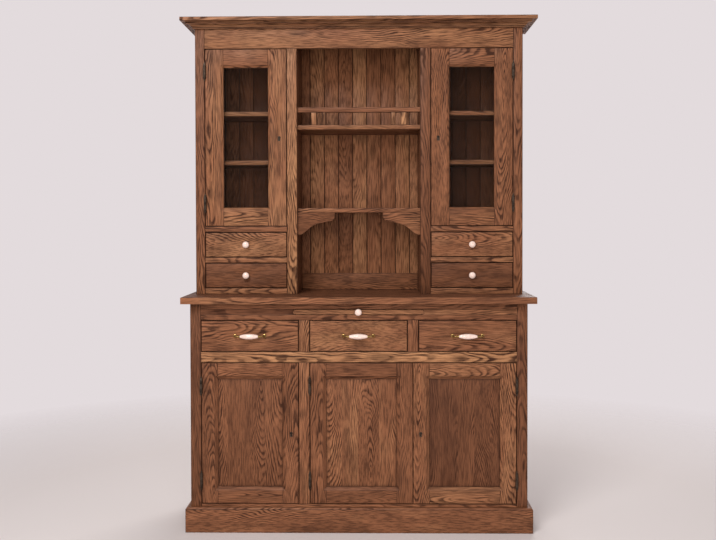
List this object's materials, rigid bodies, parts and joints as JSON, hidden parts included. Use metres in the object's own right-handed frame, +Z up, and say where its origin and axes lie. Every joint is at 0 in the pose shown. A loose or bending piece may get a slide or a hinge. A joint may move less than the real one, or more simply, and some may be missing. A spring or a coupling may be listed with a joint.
{
  "type": "hutch",
  "caption": "Two-part oak hutch: panelled cupboard base with drawers and a pull-out board under a countertop, and an upper cabinet with glass doors, small drawers and an open niche.",
  "frame": {"origin": "on the floor, in the middle of the plan box", "axes": "+Z up, the front looks towards -Y, +X to the right seen from the front"},
  "size_m": [1.522, 0.5, 2.174],
  "materials": {
    "stained_oak": "stained and waxed oak",
    "back_boards": "dark stained boards",
    "window_glass": "clear pane",
    "porcelain": "glazed white",
    "antique_brass": "aged",
    "dark_iron": "dark wrought",
    "bolt_steel": "plain steel"
  },
  "bodies": {
    "carcass": {"plinth": "stained_oak", "base_sides": "stained_oak", "base_face_stiles": "stained_oak", "base_face_rails": "stained_oak", "base_inner_boards": "stained_oak", "base_back_boards": "back_boards", "cupboard_shelves": "stained_oak", "countertop": "stained_oak", "upper_sides": "stained_oak", "upper_partitions": "stained_oak", "cabinet_decks": "stained_oak", "upper_top": "stained_oak", "cornice": "stained_oak", "upper_face_stiles": "stained_oak", "upper_face_rails": "stained_oak", "upper_back_boards": "back_boards", "niche_back_rail": "stained_oak", "niche_shelves": "stained_oak", "gallery_rail": "stained_oak", "shelf_brackets": "stained_oak", "cleats_and_stops": "stained_oak", "drawer_guides": "stained_oak", "frame_hinge_leaves": "dark_iron", "hinge_pins": "dark_iron"},
    "upper_left_door": {"upper_left_door_frame": "stained_oak", "upper_left_door_metal": "dark_iron", "upper_left_door_glass": "window_glass"},
    "upper_left_door_bolt": {"upper_left_door_bolt": "bolt_steel"},
    "upper_right_door": {"upper_right_door_frame": "stained_oak", "upper_right_door_metal": "dark_iron", "upper_right_door_glass": "window_glass"},
    "upper_right_door_bolt": {"upper_right_door_bolt": "bolt_steel"},
    "lower_left_door": {"lower_left_door_frame": "stained_oak", "lower_left_door_metal": "dark_iron"},
    "lower_left_door_bolt": {"lower_left_door_bolt": "bolt_steel"},
    "lower_middle_door": {"lower_middle_door_frame": "stained_oak", "lower_middle_door_metal": "dark_iron"},
    "lower_middle_door_bolt": {"lower_middle_door_bolt": "bolt_steel"},
    "lower_right_door": {"lower_right_door_frame": "stained_oak", "lower_right_door_metal": "dark_iron"},
    "lower_right_door_bolt": {"lower_right_door_bolt": "bolt_steel"},
    "small_drawer_left_bottom": {"small_drawer_left_bottom": "stained_oak", "small_knob_left_bottom": "porcelain"},
    "small_drawer_left_top": {"small_drawer_left_top": "stained_oak", "small_knob_left_top": "porcelain"},
    "small_drawer_right_bottom": {"small_drawer_right_bottom": "stained_oak", "small_knob_right_bottom": "porcelain"},
    "small_drawer_right_top": {"small_drawer_right_top": "stained_oak", "small_knob_right_top": "porcelain"},
    "large_drawer_left": {"large_drawer_left": "stained_oak", "large_handle_left": "antique_brass", "large_grip_left": "porcelain"},
    "large_drawer_middle": {"large_drawer_middle": "stained_oak", "large_handle_middle": "antique_brass", "large_grip_middle": "porcelain"},
    "large_drawer_right": {"large_drawer_right": "stained_oak", "large_handle_right": "antique_brass", "large_grip_right": "porcelain"},
    "pullout_board": {"pullout_board": "stained_oak", "pullout_knob": "porcelain"}
  },
  "joints": [
    {"name": "upper_left_door_swing", "type": "hinge", "parent": "carcass", "child": "upper_left_door", "pos_m": [-0.6635, -0.0665, 0], "axis": [0, 0, -1], "range_deg": [0, 160]},
    {"name": "upper_left_door_bolt_slide", "type": "slide", "parent": "upper_left_door", "child": "upper_left_door_bolt", "axis": [1, 0, 0], "range_m": [0, 0.009]},
    {"name": "upper_right_door_swing", "type": "hinge", "parent": "carcass", "child": "upper_right_door", "pos_m": [0.6635, -0.0665, 0], "axis": [0, 0, 1], "range_deg": [0, 160]},
    {"name": "upper_right_door_bolt_slide", "type": "slide", "parent": "upper_right_door", "child": "upper_right_door_bolt", "axis": [-1, 0, 0], "range_m": [0, 0.009]},
    {"name": "lower_left_door_swing", "type": "hinge", "parent": "carcass", "child": "lower_left_door", "pos_m": [-0.6595, -0.2125, 0], "axis": [0, 0, -1], "range_deg": [0, 160]},
    {"name": "lower_left_door_bolt_slide", "type": "slide", "parent": "lower_left_door", "child": "lower_left_door_bolt", "axis": [1, 0, 0], "range_m": [0, 0.009]},
    {"name": "lower_middle_door_swing", "type": "hinge", "parent": "carcass", "child": "lower_middle_door", "pos_m": [-0.20417, -0.2125, 0], "axis": [0, 0, -1], "range_deg": [0, 105]},
    {"name": "lower_middle_door_bolt_slide", "type": "slide", "parent": "lower_middle_door", "child": "lower_middle_door_bolt", "axis": [0, 0, 1], "range_m": [0, 0.012]},
    {"name": "lower_right_door_swing", "type": "hinge", "parent": "carcass", "child": "lower_right_door", "pos_m": [0.6595, -0.2125, 0], "axis": [0, 0, 1], "range_deg": [0, 160]},
    {"name": "lower_right_door_bolt_slide", "type": "slide", "parent": "lower_right_door", "child": "lower_right_door_bolt", "axis": [-1, 0, 0], "range_m": [0, 0.009]},
    {"name": "small_drawer_left_bottom_slide", "type": "slide", "parent": "carcass", "child": "small_drawer_left_bottom", "axis": [0, -1, 0], "range_m": [0, 0.17]},
    {"name": "small_drawer_left_top_slide", "type": "slide", "parent": "carcass", "child": "small_drawer_left_top", "axis": [0, -1, 0], "range_m": [0, 0.17]},
    {"name": "small_drawer_right_bottom_slide", "type": "slide", "parent": "carcass", "child": "small_drawer_right_bottom", "axis": [0, -1, 0], "range_m": [0, 0.17]},
    {"name": "small_drawer_right_top_slide", "type": "slide", "parent": "carcass", "child": "small_drawer_right_top", "axis": [0, -1, 0], "range_m": [0, 0.17]},
    {"name": "large_drawer_left_slide", "type": "slide", "parent": "carcass", "child": "large_drawer_left", "axis": [0, -1, 0], "range_m": [0, 0.28]},
    {"name": "large_drawer_middle_slide", "type": "slide", "parent": "carcass", "child": "large_drawer_middle", "axis": [0, -1, 0], "range_m": [0, 0.28]},
    {"name": "large_drawer_right_slide", "type": "slide", "parent": "carcass", "child": "large_drawer_right", "axis": [0, -1, 0], "range_m": [0, 0.28]},
    {"name": "pullout_board_slide", "type": "slide", "parent": "carcass", "child": "pullout_board", "axis": [0, -1, 0], "range_m": [0, 0.25]}
  ]
}
